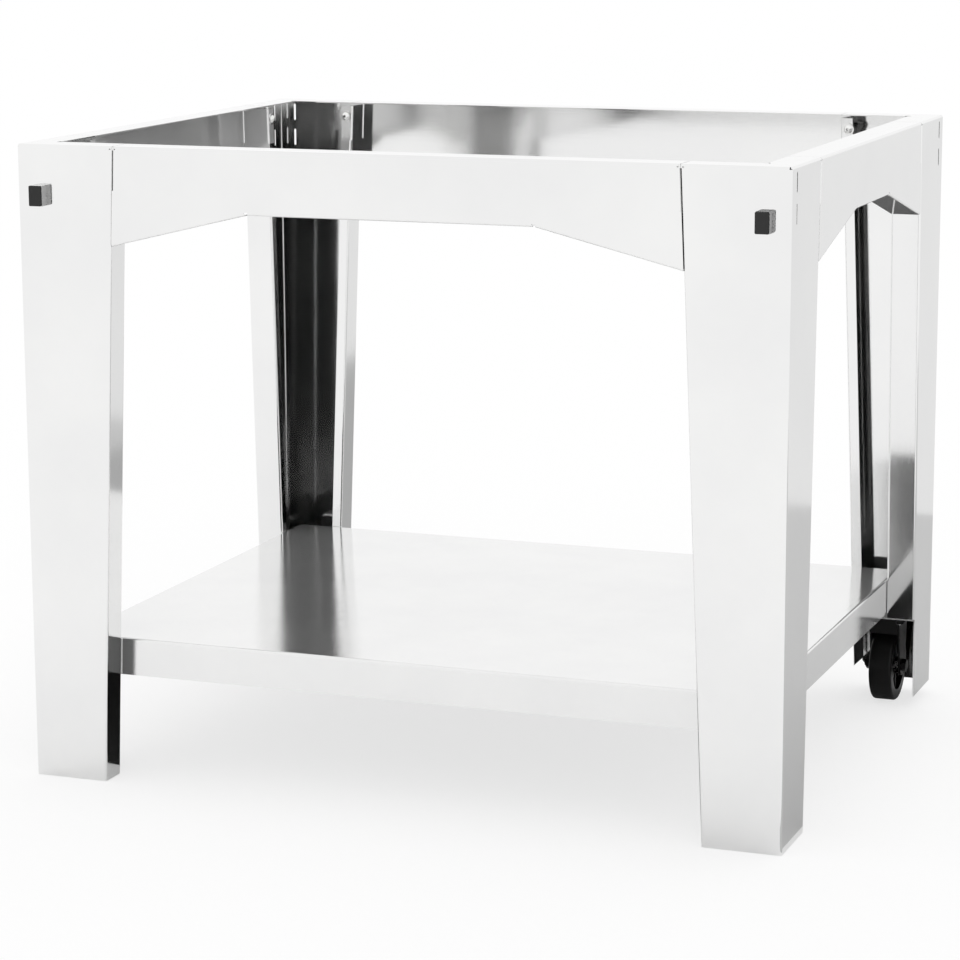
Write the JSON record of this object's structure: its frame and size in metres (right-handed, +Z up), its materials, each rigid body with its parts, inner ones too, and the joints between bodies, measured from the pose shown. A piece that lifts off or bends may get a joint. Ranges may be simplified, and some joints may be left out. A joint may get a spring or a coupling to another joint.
{
  "type": "outdoor pizza oven table",
  "caption": "Open-topped outdoor oven table of folded stainless sheet, with arched aprons, a low shelf and fixed rear wheels.",
  "frame": {"origin": "on the floor, in the middle of the outer box", "axes": "+Z up, the front with the two capped stubs faces -Y, +X to the right"},
  "size_m": [1, 0.8144, 0.82],
  "materials": {
    "leg_steel": "bright stainless sheet, mirror-like with a faint vertical grain",
    "apron_steel": "bright stainless sheet, mirror-like with a faint lengthwise grain",
    "shelf_steel": "bright stainless sheet, mirror-like with a faint grain",
    "stub_steel": "bright stainless tube",
    "mount_steel": "stainless plate, mill finish",
    "fork_steel": "pressed steel, black coated, satin",
    "bolt_steel": "bright stainless fasteners",
    "bush_steel": "bright steel sleeve",
    "cap_plastic": "black moulded plastic, satin",
    "hub_plastic": "black moulded plastic, glossy",
    "tyre_rubber": "black rubber with a glossy tread"
  },
  "bodies": {
    "frame": {"leg_front_left": "leg_steel", "leg_front_right": "leg_steel", "leg_rear_left": "leg_steel", "leg_rear_right": "leg_steel", "apron_front": "apron_steel", "apron_rear": "apron_steel", "apron_left": "apron_steel", "apron_right": "apron_steel", "shelf": "shelf_steel", "stub_left": "stub_steel", "stub_cap_left": "cap_plastic", "caster_mount_left": "mount_steel", "fork_left": "fork_steel", "stub_right": "stub_steel", "stub_cap_right": "cap_plastic", "caster_mount_right": "mount_steel", "fork_right": "fork_steel", "axle_bolt_left": "bolt_steel", "axle_bolt_right": "bolt_steel", "axle_nut_left": "bolt_steel", "axle_nut_right": "bolt_steel", "apron_bolts": "bolt_steel", "apron_nuts": "bolt_steel", "shelf_bolts": "bolt_steel", "shelf_nuts": "bolt_steel", "caster_bolts": "bolt_steel", "caster_nuts": "bolt_steel"},
    "wheel_left": {"tyre_left": "tyre_rubber", "hub_left": "hub_plastic", "bush_left": "bush_steel"},
    "wheel_right": {"tyre_right": "tyre_rubber", "hub_right": "hub_plastic", "bush_right": "bush_steel"}
  },
  "joints": [
    {"name": "wheel_left_turn", "type": "hinge", "parent": "frame", "child": "wheel_left", "pos_m": [-0.4525, 0.34825, 0.05], "axis": [1, 0, 0], "continuous": true},
    {"name": "wheel_right_turn", "type": "hinge", "parent": "frame", "child": "wheel_right", "pos_m": [0.4525, 0.34825, 0.05], "axis": [1, 0, 0], "continuous": true}
  ]
}
